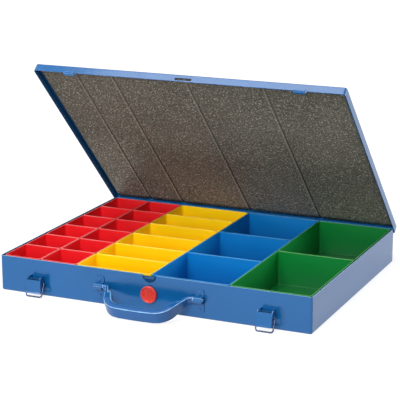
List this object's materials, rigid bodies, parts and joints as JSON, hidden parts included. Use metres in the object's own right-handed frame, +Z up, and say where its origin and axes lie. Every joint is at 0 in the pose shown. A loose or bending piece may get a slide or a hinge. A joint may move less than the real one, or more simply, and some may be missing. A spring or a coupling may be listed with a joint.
{
  "type": "compartment storage case",
  "caption": "Flat sheet steel storage case with a hinged lid, loose coloured plastic compartments, draw latches, a push catch and a bow handle.",
  "frame": {"origin": "middle of the flat underside of the tray", "axes": "+X to the right along the front, +Y from the front to the hinged back, +Z up"},
  "size_m": [0.441, 0.3903, 0.2861],
  "materials": {
    "case_blue": "satin enamel",
    "bright_steel": "zinc plated",
    "foam": "matt foam",
    "handle_blue": "satin plastic",
    "button_red": "satin plastic",
    "insert_red": "satin plastic",
    "insert_yellow": "satin plastic",
    "insert_blue": "satin plastic",
    "insert_green": "satin plastic"
  },
  "bodies": {
    "case": {"base_tray": "case_blue", "hinge_base_leaf_left": "case_blue", "hinge_base_leaf_right": "case_blue", "hinge_pin_left": "bright_steel", "hinge_pin_right": "bright_steel", "hinge_base_rivets": "case_blue", "latch_bracket_left": "case_blue", "latch_bracket_right": "case_blue", "latch_pin_left": "bright_steel", "latch_pin_right": "bright_steel", "latch_rivets": "case_blue", "handle_clip_left": "case_blue", "handle_clip_right": "case_blue", "clip_rivets": "case_blue", "insert_red_6_1": "insert_red", "insert_red_6_2": "insert_red", "insert_yellow_6": "insert_yellow", "insert_blue_3": "insert_blue", "insert_green_2": "insert_green"},
    "lid": {"lid_pan": "case_blue", "foam_lining": "foam", "hinge_lid_leaf_left": "case_blue", "hinge_lid_leaf_right": "case_blue", "hinge_lid_rivets": "case_blue"},
    "handle": {"handle": "handle_blue"},
    "lever_left": {"latch_lever_left": "case_blue"},
    "lever_right": {"latch_lever_right": "case_blue"},
    "bail_left": {"latch_bail_left": "bright_steel"},
    "bail_right": {"latch_bail_right": "bright_steel"},
    "catch": {"catch_leaf": "case_blue", "push_button": "button_red"},
    "bin_red_1_1": {"insert_red_1_1": "insert_red"},
    "bin_red_1_2": {"insert_red_1_2": "insert_red"},
    "bin_red_2_1": {"insert_red_2_1": "insert_red"},
    "bin_red_2_2": {"insert_red_2_2": "insert_red"},
    "bin_red_3_1": {"insert_red_3_1": "insert_red"},
    "bin_red_3_2": {"insert_red_3_2": "insert_red"},
    "bin_red_4_1": {"insert_red_4_1": "insert_red"},
    "bin_red_4_2": {"insert_red_4_2": "insert_red"},
    "bin_red_5_1": {"insert_red_5_1": "insert_red"},
    "bin_red_5_2": {"insert_red_5_2": "insert_red"},
    "bin_yellow_1": {"insert_yellow_1": "insert_yellow"},
    "bin_yellow_2": {"insert_yellow_2": "insert_yellow"},
    "bin_yellow_3": {"insert_yellow_3": "insert_yellow"},
    "bin_yellow_4": {"insert_yellow_4": "insert_yellow"},
    "bin_yellow_5": {"insert_yellow_5": "insert_yellow"},
    "bin_blue_1": {"insert_blue_1": "insert_blue"},
    "bin_blue_2": {"insert_blue_2": "insert_blue"},
    "bin_green_1": {"insert_green_1": "insert_green"}
  },
  "joints": [
    {"name": "lid_hinge", "type": "hinge", "parent": "case", "child": "lid", "pos_m": [0, 0.1675, 0.0383], "axis": [-1, 0, 0], "range_deg": [-45.7, 134.3]},
    {"name": "handle_pivot", "type": "hinge", "parent": "case", "child": "handle", "pos_m": [0, -0.17, 0.0255], "axis": [-1, 0, 0], "range_deg": [-50, 88]},
    {"name": "lever_left_pivot", "type": "hinge", "parent": "case", "child": "lever_left", "pos_m": [-0.1625, -0.174, 0.025], "axis": [-1, 0, 0], "range_deg": [0, 150]},
    {"name": "lever_right_pivot", "type": "hinge", "parent": "case", "child": "lever_right", "pos_m": [0.1625, -0.174, 0.025], "axis": [-1, 0, 0], "range_deg": [-16, 134]},
    {"name": "bail_left_pivot", "type": "hinge", "parent": "lever_left", "child": "bail_left", "pos_m": [-0.1625, -0.1705, 0.0187], "axis": [1, 0, 0], "range_deg": [-158.4, 27]},
    {"name": "bail_right_pivot", "type": "hinge", "parent": "lever_right", "child": "bail_right", "pos_m": [0.1625, -0.17237, 0.01798], "axis": [1, 0, 0], "range_deg": [-174.4, 27]},
    {"name": "catch_flex", "type": "hinge", "parent": "case", "child": "catch", "pos_m": [0, -0.1636, 0.004], "axis": [-1, 0, 0], "range_deg": [0, 2.9], "stiffness_Nm_per_rad": 3, "springref_deg": -6.88},
    {"name": "lift_red_1_1", "type": "slide", "parent": "case", "child": "bin_red_1_1", "axis": [0, 0, 1], "range_m": [0, 0.055]},
    {"name": "lift_red_1_2", "type": "slide", "parent": "case", "child": "bin_red_1_2", "axis": [0, 0, 1], "range_m": [0, 0.055]},
    {"name": "lift_red_2_1", "type": "slide", "parent": "case", "child": "bin_red_2_1", "axis": [0, 0, 1], "range_m": [0, 0.055]},
    {"name": "lift_red_2_2", "type": "slide", "parent": "case", "child": "bin_red_2_2", "axis": [0, 0, 1], "range_m": [0, 0.055]},
    {"name": "lift_red_3_1", "type": "slide", "parent": "case", "child": "bin_red_3_1", "axis": [0, 0, 1], "range_m": [0, 0.055]},
    {"name": "lift_red_3_2", "type": "slide", "parent": "case", "child": "bin_red_3_2", "axis": [0, 0, 1], "range_m": [0, 0.055]},
    {"name": "lift_red_4_1", "type": "slide", "parent": "case", "child": "bin_red_4_1", "axis": [0, 0, 1], "range_m": [0, 0.055]},
    {"name": "lift_red_4_2", "type": "slide", "parent": "case", "child": "bin_red_4_2", "axis": [0, 0, 1], "range_m": [0, 0.055]},
    {"name": "lift_red_5_1", "type": "slide", "parent": "case", "child": "bin_red_5_1", "axis": [0, 0, 1], "range_m": [0, 0.055]},
    {"name": "lift_red_5_2", "type": "slide", "parent": "case", "child": "bin_red_5_2", "axis": [0, 0, 1], "range_m": [0, 0.055]},
    {"name": "lift_yellow_1", "type": "slide", "parent": "case", "child": "bin_yellow_1", "axis": [0, 0, 1], "range_m": [0, 0.055]},
    {"name": "lift_yellow_2", "type": "slide", "parent": "case", "child": "bin_yellow_2", "axis": [0, 0, 1], "range_m": [0, 0.055]},
    {"name": "lift_yellow_3", "type": "slide", "parent": "case", "child": "bin_yellow_3", "axis": [0, 0, 1], "range_m": [0, 0.055]},
    {"name": "lift_yellow_4", "type": "slide", "parent": "case", "child": "bin_yellow_4", "axis": [0, 0, 1], "range_m": [0, 0.055]},
    {"name": "lift_yellow_5", "type": "slide", "parent": "case", "child": "bin_yellow_5", "axis": [0, 0, 1], "range_m": [0, 0.055]},
    {"name": "lift_blue_1", "type": "slide", "parent": "case", "child": "bin_blue_1", "axis": [0, 0, 1], "range_m": [0, 0.055]},
    {"name": "lift_blue_2", "type": "slide", "parent": "case", "child": "bin_blue_2", "axis": [0, 0, 1], "range_m": [0, 0.055]},
    {"name": "lift_green_1", "type": "slide", "parent": "case", "child": "bin_green_1", "axis": [0, 0, 1], "range_m": [0, 0.055]}
  ]
}
